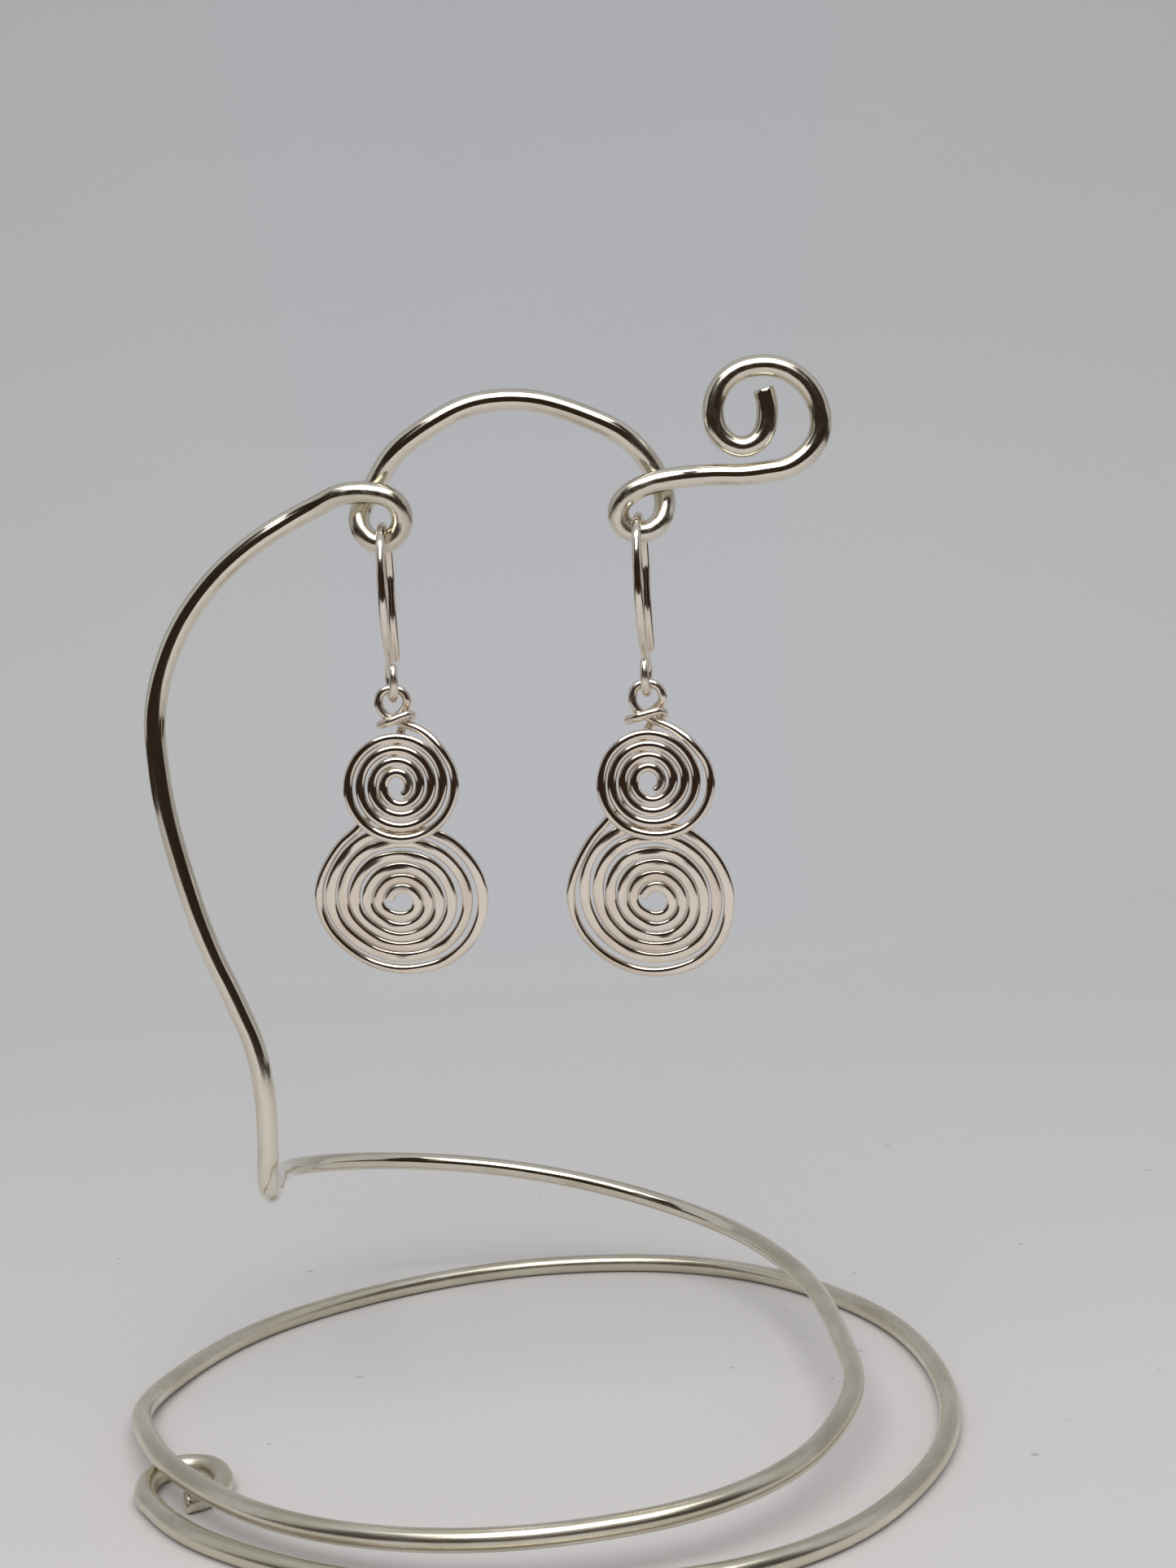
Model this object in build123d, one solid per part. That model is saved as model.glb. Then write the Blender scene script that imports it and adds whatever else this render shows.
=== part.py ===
"""Pair of spiral wire earrings on a one-piece bent-wire display stand.

Five pieces, each one bent wire: the stand, two ear wires and two spiral drops.
X runs to the viewer's right, Y away from the viewer and Z up. The stand rests on
the floor and the origin is at the middle of its footprint.
"""

import os
from math import cos, radians, sin, sqrt, tan

from build123d import *

# Wires and the clearances between them, in millimetres
STAND_WIRE = 2.05
EAR_WIRE = 0.86
TURN_GAP = 0.08          # between neighbouring turns of a spiral
CROSSING_GAP = 0.15      # where the stand's wire passes over itself
HANG_GAP = 0.06          # under a wire that hangs from another one

# Stand, measured along the middle of its wire
BASE_RADIUS = 42.0       # floor coil
COIL_RISE = 15.7         # from the coil's crossing up to the foot of the leg
FLOOR_CURL = 4.2         # radius of the small curl that ends the coil
UPRIGHT_BACK = -11.0     # plane of the upright, in front of the coil's centre
LOOP_HEIGHT = 90.6       # centre of the left loop
LOOP_LEFT = -10.25
LOOP_SPAN = 24.4         # from the left loop to the right one
RIGHT_LOOP_DROP = 0.2
LOOP_RADIUS = 2.2
ARCH_RISE = 10.4         # top of the arch above the loops
STEM_REACH = 22.4        # furthest left of the stem from the left loop
CURL_RADIUS = 4.9
CURL_REACH = 12.1        # middle of the top curl from the right loop
CURL_LIFT = 7.7

# Ear wires: arch, leg and closed eye
HOOK_ARCH = 4.3          # radius of the arch
HOOK_EYE = 1.75          # radius of the eye
BACK_LEG = 8.6           # length of the leg that goes through the ear
BACK_FLARE = 1.4
HOOKS = {
    "left": dict(height=16.2, shift=0.2, yaw=-0.5, twist=-0.20),
    "right": dict(height=16.6, shift=-0.15, yaw=-7.0, twist=0.0),
}

# The ear wire's lines that aren't arcs, as shares
BACK_BEND = (0.08, 0.50)  # of BACK_FLARE and BACK_LEG, between the arch and the tip
FRONT_LEG = (  # of HOOK_ARCH, and of the way from the arch's level down to the eye's top
    (-1.007, 0.155), (-0.965, 0.345), (-0.767, 0.62), (-0.465, 0.833), (-0.144, 0.946),
)
ARCH_ANGLES = (0, 45, 90, 135, 180)
EYE_ANGLES = (60, 5, -50, -110, -170, -228)

# The stand's upright from the top curl down to the foot. Rows are X, Z and the
# step behind (+1) or in front (-1) of the upright's plane at a crossing.
CURL = (  # shares of CURL_RADIUS from the curl's middle
    (-0.02, 0.56), (0.03, 0.05), (-0.10, -0.33), (-0.46, -0.50), (-0.84, -0.31),
    (-1.00, 0.16), (-0.73, 0.78), (-0.08, 1.02), (0.60, 0.80), (1.00, 0.25),
    (0.98, -0.40), (0.52, -0.86), (-0.20, -1.00),
)
RIGHT_LOOP = (  # shares of LOOP_RADIUS from the loop's middle
    (2.60, 1.27, -0.4), (1.25, 1.17, -1.0), (0.35, 0.99, -1.0), (-0.50, 0.60, -0.8),
    (-0.95, -0.08, -0.3), (-0.72, -0.72, 0.0), (-0.02, -1.00, 0.0), (0.78, -0.64, 0.3),
    (1.08, 0.25, 0.9),
    (0.72, 1.55, 1.0), (-0.20, 2.80, 0.4),
)
ARCH = (  # shares of LOOP_SPAN from the left loop and of ARCH_RISE
    (0.765, 0.87), (0.571, 1.0), (0.369, 0.975), (0.180, 0.77),
)
LEFT_LOOP = (  # shares of LOOP_RADIUS from the loop's middle
    (0.55, 2.55, 0.4), (-0.16, 1.55, 1.0), (-0.72, 0.72, 1.0), (-0.92, -0.15, 0.5),
    (-0.02, -1.00, 0.0), (0.93, -0.20, -0.3), (0.62, 0.78, -0.9), (-0.25, 1.09, -1.0),
    (-1.30, 1.14, -0.9),
)
STEM = (  # shares of STEM_REACH to the left and of LOOP_HEIGHT
    (0.293, 1.013), (0.548, 0.979), (0.720, 0.944), (0.895, 0.886), (0.993, 0.815),
    (0.993, 0.740), (0.930, 0.648), (0.826, 0.557), (0.740, 0.504), (0.665, 0.450),
    (0.638, 0.400), (0.638, 0.345), (0.644, 0.322),
)
# The foot's bend and the leg to the back, shares of BASE_RADIUS and LOOP_HEIGHT
FOOT = (
    (-0.591, -0.247, 0.302), (-0.596, -0.208, 0.292), (-0.648, 0.250, 0.242),
    (-0.680, 0.500, 0.215), (-0.668, 0.690, 0.199),
)
# The coil, clockwise from above: angle, share of BASE_RADIUS, share of COIL_RISE
# above the crossing, and share of the crossing's lift off the floor
RAISED_TURN = (
    (120, 1.012, 0.826, 1), (90, 0.979, 0.584, 1), (60, 0.920, 0.320, 1),
    (30, 0.785, 0.231, 1), (0, 0.735, 0.183, 1), (-30, 0.824, 0.161, 1),
    (-60, 0.938, 0.118, 1), (-90, 0.945, 0.056, 1), (-120, 0.938, 0.012, 1),
    (-148, 0.935, 0.0, 1.03), (-164, 0.945, 0.0, 0.86), (-180, 0.967, 0.0, 0.24),
    (-195, 0.952, 0.0, 0.02),
)
FLOOR_TURN = (
    (150, 0.941), (120, 0.923), (90, 0.962), (60, 1.004), (30, 0.986), (0, 0.979),
    (-30, 1.021), (-60, 1.070), (-90, 1.026), (-120, 1.008), (-145, 1.005),
)
CURL_END = (  # shares of FLOOR_CURL from (-0.79, -0.43) of BASE_RADIUS
    (-0.82, -0.50), (-0.80, 0.35), (-0.32, 0.90), (0.30, 0.86), (0.74, 0.30),
    (0.82, -0.45), (0.20, -1.06),
)
CURL_END_CENTRE = (-0.79, -0.43)

# The drops, in lays (one wire and one turn gap). A spiral has a row for each
# turn, with its radius in eight directions as the viewer sees them, and is
# wound from the cut tip (angle, radius) out to its last directions.
LARGE_LAYER_SHARE = 0.10   # top of the large spiral behind the drop's middle
SMALL_LAYER_SHARE = -1.15  # plane of the small one, in front
LARGE_LEAN = 5.0           # degrees that the large spiral leans back towards its foot
SMALL_LEAN = 0.0
LARGE_FIRST_ANGLE = 135    # direction of the first radius in the large rows
SMALL_FIRST_ANGLE = -45
DIRECTIONS = 8
DROPS = {
    "left": dict(
        large_centre=(-0.23, -21.83),
        large_tip=(-165, 1.37),
        # north-west, north, north-east, east, south-east, south, south-west, west
        large=(
            (1.45, 1.49, 1.46, 1.49, 1.47, 1.45, 1.70, 2.38),
            (2.54, 2.57, 2.52, 2.58, 2.55, 2.56, 2.79, 3.53),
            (3.70, 3.70, 3.63, 3.74, 3.65, 3.58, 3.85, 4.80),
            (5.07, 4.87, 4.96, 5.00, 4.79, 4.60, 4.89, 5.96),
            (6.38, 6.28, 6.43, 6.61, 6.15, 5.69, 6.01, 7.22),
            (7.52, 7.62, 7.98, 8.18, 7.69, 7.01, 7.26, 8.42),
        ),
        large_end=(8.64,),
        small_centre=(0.11, -9.82),
        small_tip=(-64, 0.98),
        # south-east, east, north-east, north, north-west, west, south-west, south
        small=(
            (1.03, 1.10, 1.28, 1.44, 1.47, 1.45, 1.56, 1.85),
            (2.06, 2.24, 2.44, 2.59, 2.61, 2.60, 2.71, 2.90),
            (3.15, 3.39, 3.58, 3.77, 3.81, 3.79, 3.88, 4.05),
            (4.27, 4.54, 4.76, 4.93, 4.97, 5.02, 5.10, 5.29),
        ),
        small_end=(5.51, 5.71, 5.84),
        # from the large spiral up its neck, round the wrap and the top loop
        neck=(
            (-4.33, 0.20, -13.98), (-2.55, 0.33, -12.17), (-1.35, 0.48, -9.40),
            (-0.25, 0.64, -6.70), (0.45, 0.85, -4.75),
        ),
        wrap=(
            (0.87, 1.06, -3.74), (1.40, 0.85, -3.22), (1.85, 0.0, -2.82),
            (1.54, -0.80, -2.62), (0.31, -1.06, -3.00), (-0.80, -0.85, -3.40),
            (-1.36, 0.0, -3.58), (-0.95, 0.85, -3.50), (-0.03, 1.03, -3.03),
            (0.96, 0.60, -2.25),
        ),
        loop=(
            (1.40, 0.10, -1.35), (1.08, 0.0, -0.42), (0.0, 0.0, 0.0), (-1.12, 0.0, -0.38),
            (-1.46, 0.0, -1.22), (-1.22, 0.0, -2.15), (-0.42, 0.0, -2.95),
            (0.75, -0.05, -3.48), (1.96, -0.35, -3.92), (2.95, -0.70, -4.45),
        ),
    ),
    "right": dict(
        large_centre=(0.01, -22.41),
        large_tip=(-155, 1.47),
        large=(
            (1.53, 1.64, 1.55, 1.57, 1.54, 1.47, 1.60, 2.18),
            (2.75, 2.80, 2.65, 2.63, 2.66, 2.57, 2.66, 3.32),
            (3.96, 4.03, 3.81, 3.77, 3.80, 3.64, 3.79, 4.50),
            (5.30, 5.26, 4.99, 4.86, 4.97, 4.66, 4.90, 5.72),
            (6.75, 6.70, 6.26, 6.13, 6.17, 5.85, 6.08, 7.09),
            (8.20, 8.07, 7.53, 7.41, 7.60, 7.34, 7.62, 8.63),
        ),
        large_end=(9.24,),
        small_centre=(-0.24, -9.86),
        small_tip=(-62, 1.10),
        small=(
            (1.16, 1.26, 1.34, 1.46, 1.48, 1.49, 1.65, 1.92),
            (2.18, 2.43, 2.51, 2.59, 2.60, 2.64, 2.80, 3.05),
            (3.30, 3.61, 3.60, 3.69, 3.74, 3.76, 3.95, 4.22),
            (4.55, 4.73, 4.66, 4.79, 4.81, 4.83, 5.13, 5.43),
        ),
        small_end=(6.06, 6.17, 5.75),
        neck=(
            (-4.64, 0.20, -13.76), (-2.85, 0.33, -11.96), (-1.68, 0.48, -9.25),
            (-0.88, 0.64, -6.85), (-0.25, 0.85, -5.10),
        ),
        wrap=(
            (0.28, 1.12, -4.30), (1.10, 0.90, -3.72), (1.61, 0.0, -3.20),
            (1.18, -0.80, -2.87), (-0.22, -1.06, -3.09), (-1.38, -0.85, -3.40),
            (-2.00, 0.0, -3.68), (-1.44, 0.85, -3.64), (-0.20, 0.98, -3.24),
            (0.96, 0.60, -2.52),
        ),
        loop=(
            (1.55, 0.10, -1.64), (1.20, 0.0, -0.52), (0.03, 0.0, 0.0), (-1.12, 0.0, -0.38),
            (-1.50, 0.0, -1.32), (-1.28, 0.0, -2.32), (-0.52, 0.0, -3.17),
            (0.50, -0.05, -3.75), (1.50, -0.35, -4.22), (2.64, -0.70, -4.84),
        ),
    ),
}


def tangents(points):
    """Direction of the wire at each point, from the circle through it and its neighbours."""
    found = []
    for before, here, after in zip(points, points[1:], points[2:]):
        back, ahead = here - before, after - here
        longer = ahead.length / back.length
        found.append((back * longer + ahead / longer).normalized())
    first = (points[1] - points[0]).normalized()
    last = (points[-1] - points[-2]).normalized()
    start = first * (2 * first.dot(found[0])) - found[0]
    end = last * (2 * last.dot(found[-1])) - found[-1]
    return [start, *found, end]


def wire(points, diameter):
    """Round wire through the points, each step between two of them a pair of tangent arcs."""
    points = [Vector(*point) for point in points]
    heads = tangents(points)
    edges = []
    for start, end, leave, arrive in zip(points, points[1:], heads, heads[1:]):
        chord, both = end - start, leave + arrive
        bend = 2 * (1 - leave.dot(arrive))
        along = chord.dot(both)
        if bend < 1e-6:
            reach = chord.dot(chord) / (2 * along)
        else:
            reach = (sqrt(along**2 + bend * chord.dot(chord)) - along) / bend
        middle = (start + end + (leave - arrive) * reach) * 0.5
        across = (chord - both * reach).normalized()
        edges.append(Edge.make_tangent_arc(start, leave, middle))
        edges.append(Edge.make_tangent_arc(middle, across, end))
    section = Plane(origin=points[0], z_dir=heads[0]) * Circle(diameter / 2)
    return sweep(section, path=Wire(edges))


def upright():
    """Points of the stand's upright, from the top curl's tip down to the foot."""
    step = (STAND_WIRE + CROSSING_GAP) / 2
    loops = {
        "right": (LOOP_LEFT + LOOP_SPAN, LOOP_HEIGHT - RIGHT_LOOP_DROP),
        "left": (LOOP_LEFT, LOOP_HEIGHT),
    }
    curl_x = loops["right"][0] + CURL_REACH
    curl_z = loops["right"][1] + CURL_LIFT
    points = [(curl_x + CURL_RADIUS * x, UPRIGHT_BACK, curl_z + CURL_RADIUS * z) for x, z in CURL]
    for side, rows in (("right", RIGHT_LOOP), ("left", LEFT_LOOP)):
        x0, z0 = loops[side]
        points += [
            (x0 + LOOP_RADIUS * x, UPRIGHT_BACK + step * y, z0 + LOOP_RADIUS * z) for x, z, y in rows
        ]
        if side == "right":
            points += [
                (LOOP_LEFT + LOOP_SPAN * x, UPRIGHT_BACK, LOOP_HEIGHT + ARCH_RISE * z) for x, z in ARCH
            ]
    points += [(LOOP_LEFT - STEM_REACH * x, UPRIGHT_BACK, LOOP_HEIGHT * z) for x, z in STEM]
    return points


def base():
    """Points of the foot, the raised turn, the floor turn and the small end curl."""
    floor = STAND_WIRE / 2
    crossing = STAND_WIRE + CROSSING_GAP
    points = [(BASE_RADIUS * x, BASE_RADIUS * y, LOOP_HEIGHT * z) for x, y, z in FOOT]
    for angle, radius, rise, lift in RAISED_TURN:
        turn, out = radians(angle), BASE_RADIUS * radius
        points.append((out * cos(turn), out * sin(turn), floor + lift * crossing + rise * COIL_RISE))
    for angle, radius in FLOOR_TURN:
        turn, out = radians(angle), BASE_RADIUS * radius
        points.append((out * cos(turn), out * sin(turn), floor))
    x0, y0 = (BASE_RADIUS * share for share in CURL_END_CENTRE)
    points += [(x0 + FLOOR_CURL * x, y0 + FLOOR_CURL * y, floor) for x, y in CURL_END]
    return points


def hook_place(side):
    """Where the top of an ear wire's arch hangs in its loop of the stand."""
    shift = HOOKS[side]["shift"]
    x0 = LOOP_LEFT if side == "left" else LOOP_LEFT + LOOP_SPAN
    z0 = LOOP_HEIGHT if side == "left" else LOOP_HEIGHT - RIGHT_LOOP_DROP
    play = LOOP_RADIUS - STAND_WIRE / 2 - EAR_WIRE / 2 - HANG_GAP
    return Vector(x0 + shift, UPRIGHT_BACK, z0 - sqrt(play**2 - shift**2))


def hook_points(side):
    """Points of an ear wire hung by its arch, with the eye straight below."""
    shape = HOOKS[side]
    eye_z = HOOK_ARCH + HOOK_EYE - shape["height"]
    bend_y, bend_z = BACK_BEND
    leg = [
        (HOOK_ARCH + BACK_FLARE, -BACK_LEG),
        (HOOK_ARCH + bend_y * BACK_FLARE, -bend_z * BACK_LEG),
    ]
    for angle in ARCH_ANGLES:
        leg.append((HOOK_ARCH * cos(radians(angle)), HOOK_ARCH * sin(radians(angle))))
    leg += [(HOOK_ARCH * across, (eye_z + HOOK_EYE) * down) for across, down in FRONT_LEG]
    eye = []
    for angle in EYE_ANGLES:
        eye.append((HOOK_EYE * cos(radians(angle)), eye_z + HOOK_EYE * sin(radians(angle))))
    yaw = radians(shape["yaw"])
    top = hook_place(side)
    points = []
    for index, (y, z) in enumerate(leg + eye):
        sway = shape["twist"] * y if index >= len(leg) else 0.0
        points.append((
            top.X + sway * cos(yaw) - y * sin(yaw),
            top.Y + sway * sin(yaw) + y * cos(yaw),
            top.Z + z - HOOK_ARCH,
        ))
    return points


def pivot(side):
    """Middle of a drop's top loop where it rests in the ear wire's eye."""
    top = hook_place(side)
    return Vector(top.X, top.Y, top.Z - HOOKS[side]["height"] + EAR_WIRE + HANG_GAP)


def spiral(centre, layer, lean, tip, rows, end, first, turning):
    """Points of a spiral from its cut tip outwards, about a centre in lays.

    Its top is at the layer and its flat plane leans back from there."""
    x0, z0 = centre
    stations = [tip]
    radii = [radius for row in rows for radius in row] + list(end)
    step = turning * 360 / DIRECTIONS
    stations += [(first + step * index, radius) for index, radius in enumerate(radii)]
    flat = [
        (x0 + radius * cos(radians(angle)), z0 + radius * sin(radians(angle)))
        for angle, radius in stations
    ]
    top = max(z for x, z in flat)
    return [(x, layer + tan(radians(lean)) * (top - z), z) for x, z in flat]


def drop_points(side):
    """Points of a drop, from the large spiral's tip to the small spiral's tip."""
    shape = DROPS[side]
    large_angle, large_radius = shape["large_tip"]
    small_angle, small_radius = shape["small_tip"]
    large = spiral(
        shape["large_centre"], LARGE_LAYER_SHARE, LARGE_LEAN, (-large_angle, large_radius),
        shape["large"], shape["large_end"], LARGE_FIRST_ANGLE, -1,
    )
    small = spiral(
        shape["small_centre"], SMALL_LAYER_SHARE, SMALL_LEAN, (small_angle, small_radius),
        shape["small"], shape["small_end"], SMALL_FIRST_ANGLE, 1,
    )
    lay = EAR_WIRE + TURN_GAP
    start = pivot(side)
    route = [*large, *shape["neck"], *shape["wrap"], *shape["loop"], *reversed(small)]
    return [(start.X + lay * x, start.Y + lay * y, start.Z + lay * z) for x, y, z in route]


PIECES = {
    "display_stand": (upright() + base(), STAND_WIRE),
    "left_ear_hook": (hook_points("left"), EAR_WIRE),
    "right_ear_hook": (hook_points("right"), EAR_WIRE),
    "left_spiral_drop": (drop_points("left"), EAR_WIRE),
    "right_spiral_drop": (drop_points("right"), EAR_WIRE),
}

if __name__ == "__main__":
    os.makedirs("parts", exist_ok=True)
    solids = {name: wire(points, diameter) for name, (points, diameter) in PIECES.items()}
    box = Compound(list(solids.values())).bounding_box()
    origin = Vector(-(box.min.X + box.max.X) / 2, -(box.min.Y + box.max.Y) / 2, -box.min.Z)
    for name, solid in solids.items():
        export_step(solid.moved(Location(origin)), f"parts/{name}.step")
        print(name, round(solid.volume, 2), "mm3")
    for side in HOOKS:
        print(side, "pivot", pivot(side) + origin)
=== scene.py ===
"""Looks of two spiral wire earrings hanging on a display stand bent from one wire.

Each of the five wires is a dense tube along the line that its CAD wire follows,
hammered a little flat in the spirals. There are two silvers, one warm for the
stand and one paler and pinker for the jewellery, and an open white light box.
X runs to the viewer's right, Y away from the viewer and Z up, in metres; the
tables of the wires' lines are in millimetres.
"""

import logging
from dataclasses import dataclass
from enum import Enum
from math import cos, pi, radians, sin, sqrt

import bmesh
import bpy
import numpy as np
from mathutils import Matrix, Vector


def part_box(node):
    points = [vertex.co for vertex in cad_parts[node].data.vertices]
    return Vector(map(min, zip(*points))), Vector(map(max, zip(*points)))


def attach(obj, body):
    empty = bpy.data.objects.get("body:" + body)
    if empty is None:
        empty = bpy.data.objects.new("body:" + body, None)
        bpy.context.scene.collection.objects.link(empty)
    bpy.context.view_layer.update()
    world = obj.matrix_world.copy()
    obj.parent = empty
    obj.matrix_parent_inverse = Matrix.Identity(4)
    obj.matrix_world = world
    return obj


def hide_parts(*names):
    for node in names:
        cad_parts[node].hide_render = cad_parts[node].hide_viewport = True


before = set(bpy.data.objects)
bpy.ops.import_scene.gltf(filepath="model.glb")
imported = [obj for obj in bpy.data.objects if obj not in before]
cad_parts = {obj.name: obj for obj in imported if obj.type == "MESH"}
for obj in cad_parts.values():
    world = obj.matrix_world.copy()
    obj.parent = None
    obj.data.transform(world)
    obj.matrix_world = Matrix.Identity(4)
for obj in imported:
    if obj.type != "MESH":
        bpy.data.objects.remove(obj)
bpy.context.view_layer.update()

LOG = logging.getLogger("earrings")
MM = 0.001
TINY = 1e-9  # keeps a divisor from being nothing
SMALL = 1e-6  # bend below which a step counts as straight
WELD = 1e-8  # metres between the points that meet in a cut end's middle
ARC_SAMPLES = 20

Array = np.ndarray
Piece = bpy.types.Object
Socket = bpy.types.NodeSocket
Pair = tuple[float, float]
Triple = tuple[float, float, float]
Rows = tuple[tuple[float, ...], ...]

# Wires and the clearances between them, in millimetres
STAND_WIRE = 2.05
EAR_WIRE = 0.86
TURN_GAP = 0.08
CROSSING_GAP = 0.15
HANG_GAP = 0.06


class Side(Enum):
    """Which earring of the pair."""

    LEFT = "left"
    RIGHT = "right"


def unit(rows: Array) -> Array:
    """Rows of an array scaled to length one."""
    return rows / np.linalg.norm(rows, axis=-1, keepdims=True)


def dot(a: Array, b: Array) -> Array:
    """Row by row dot product, kept as a column."""
    return (a * b).sum(axis=-1, keepdims=True)


def headings(points: Array) -> Array:
    """Direction of a wire at each of its points.

    Each is the tangent of the circle through a point and its neighbours, and
    the ends mirror their neighbour's tangent in the last step.

    Args:
        points: The wire's points, one row each.

    Returns:
        Unit tangents, one row for each point.
    """
    steps = np.diff(points, axis=0)
    length = np.linalg.norm(steps, axis=1, keepdims=True)
    before, after = steps[:-1] / length[:-1], steps[1:] / length[1:]
    inner = unit(before * length[1:] + after * length[:-1])
    first, last = unit(steps[:1]), unit(steps[-1:])
    start = 2 * dot(first, inner[:1]) * first - inner[:1]
    end = 2 * dot(last, inner[-1:]) * last - inner[-1:]
    return np.concatenate([start, inner, end])


def arcs(start: Array, heading: Array, end: Array, shares: Array) -> Array:
    """Points on circular arcs that leave start along heading and reach end.

    A point is start + R sin(a) heading + R (1 - cos(a)) side. The side is square
    to the heading, towards the chord, and the angle a grows with the share.

    Args:
        start: Start points, one row for each arc.
        heading: Unit tangents at the start.
        end: End points.
        shares: Places along each arc from 0 to 1.

    Returns:
        Array of arcs by shares by three.
    """
    chord = end - start
    ahead = dot(chord, heading)
    across = chord - ahead * heading
    offset = np.maximum(np.linalg.norm(across, axis=1, keepdims=True), TINY)
    radius = dot(chord, chord) / (2 * offset)
    angle = (2 * np.arctan2(offset, ahead))[:, :, None] * shares[None, :, None]
    forward = (radius[:, :, None] * np.sin(angle)) * heading[:, None, :]
    sideways = (radius[:, :, None] * (1 - np.cos(angle))) * (across / offset)[:, None, :]
    return start[:, None, :] + forward + sideways


def bent_line(points: Array) -> Array:
    """Line of a wire bent through its points, two tangent arcs in each step.

    Args:
        points: The wire's points.

    Returns:
        Close points along the line.
    """
    heads = headings(points)
    start, end, leave, arrive = points[:-1], points[1:], heads[:-1], heads[1:]
    chord, both = end - start, leave + arrive
    bend = 2 * (1 - dot(leave, arrive))
    along, square = dot(chord, both), dot(chord, chord)
    curved = (np.sqrt(along**2 + bend * square) - along) / np.maximum(bend, TINY)
    reach = np.where(bend < SMALL, square / (2 * along), curved)
    middle = (start + end + (leave - arrive) * reach) / 2
    shares = np.arange(ARC_SAMPLES) / ARC_SAMPLES
    first = arcs(start, leave, middle, shares)
    second = arcs(end, -arrive, middle, 1 - shares)
    steps = np.concatenate([first, second], axis=1).reshape(-1, 3)
    return np.concatenate([steps, points[-1:]])


def even_line(line: Array, spacing: float) -> Array:
    """The same line with its points evenly spaced along it."""
    steps = np.linalg.norm(np.diff(line, axis=0), axis=1)
    travelled = np.concatenate([[0.0], np.cumsum(steps)])
    count = int(round(travelled[-1] / spacing)) + 1
    even = np.linspace(0.0, travelled[-1], count)
    return np.stack([np.interp(even, travelled, column) for column in line.T], axis=1)


def relaxed(line: Array, width: float) -> Array:
    """Line with the sudden changes of bend evened out, as a springy wire takes them.

    The line is averaged with a bell curve, and the average of what that took
    away is put back, so that bends keep their radius.

    Args:
        line: Evenly spaced points.
        width: The bell curve's width, in points.

    Returns:
        The evened line, with as many points.
    """
    reach = int(4 * width)  # the bell curve has died out by there
    bell = np.exp(-0.5 * (np.arange(-reach, reach + 1) / width) ** 2)
    bell /= bell.sum()

    def average(rows: Array) -> Array:
        """Bell-weighted mean, the ends mirrored through themselves."""
        before = 2 * rows[:1] - rows[reach:0:-1]
        after = 2 * rows[-1:] - rows[-2:-reach - 2:-1]
        long = np.concatenate([before, rows, after])
        return np.stack([np.convolve(column, bell, "valid") for column in long.T], axis=1)

    once = average(line)
    return once + average(line - once)


@dataclass(frozen=True)
class Frames:
    """A wire's middle line with the directions carried along it.

    Args:
        line: Evenly spaced points, one row each.
        tangent: Unit direction of the wire at each point.
        across: First unit direction across it.
        upward: Second one, square to both.
    """

    line: Array
    tangent: Array
    across: Array
    upward: Array


def carried_frames(line: Array) -> Frames:
    """Tangent and two cross directions along a line, without twist.

    The smallest turns between neighbouring tangents are multiplied up along the
    line by doubling.

    Args:
        line: Evenly spaced points.

    Returns:
        The line and its directions.
    """
    tangent = unit(np.gradient(line, axis=0))
    before, after = tangent[:-1], tangent[1:]
    axis = np.cross(before, after)
    skew = np.zeros((len(axis), 3, 3))
    skew[:, 0, 1], skew[:, 0, 2], skew[:, 1, 2] = -axis[:, 2], axis[:, 1], -axis[:, 0]
    skew -= skew.transpose(0, 2, 1)
    turn = np.eye(3) + skew + skew @ skew / (1 + dot(before, after))[:, :, None]
    reach = 1
    while reach < len(turn):
        turn[reach:] = turn[reach:] @ turn[:-reach]
        reach *= 2
    helper = np.eye(3)[np.argmin(np.abs(tangent[0]))]
    first = unit(np.cross(tangent[0], helper))
    across = unit(np.concatenate([first[None], turn @ first]))
    return Frames(line, tangent, across, np.cross(tangent, across))


@dataclass(frozen=True)
class Pattern:
    """Noise stretched by a scale for each direction.

    Args:
        scale: Waves per unit in each direction.
        detail: Octaves of finer noise.
        rough: Share that each octave keeps.
        ends: Values between which its effect rises from none to full.
    """

    scale: Triple
    detail: float
    rough: float
    ends: Pair = (0.0, 1.0)


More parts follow.
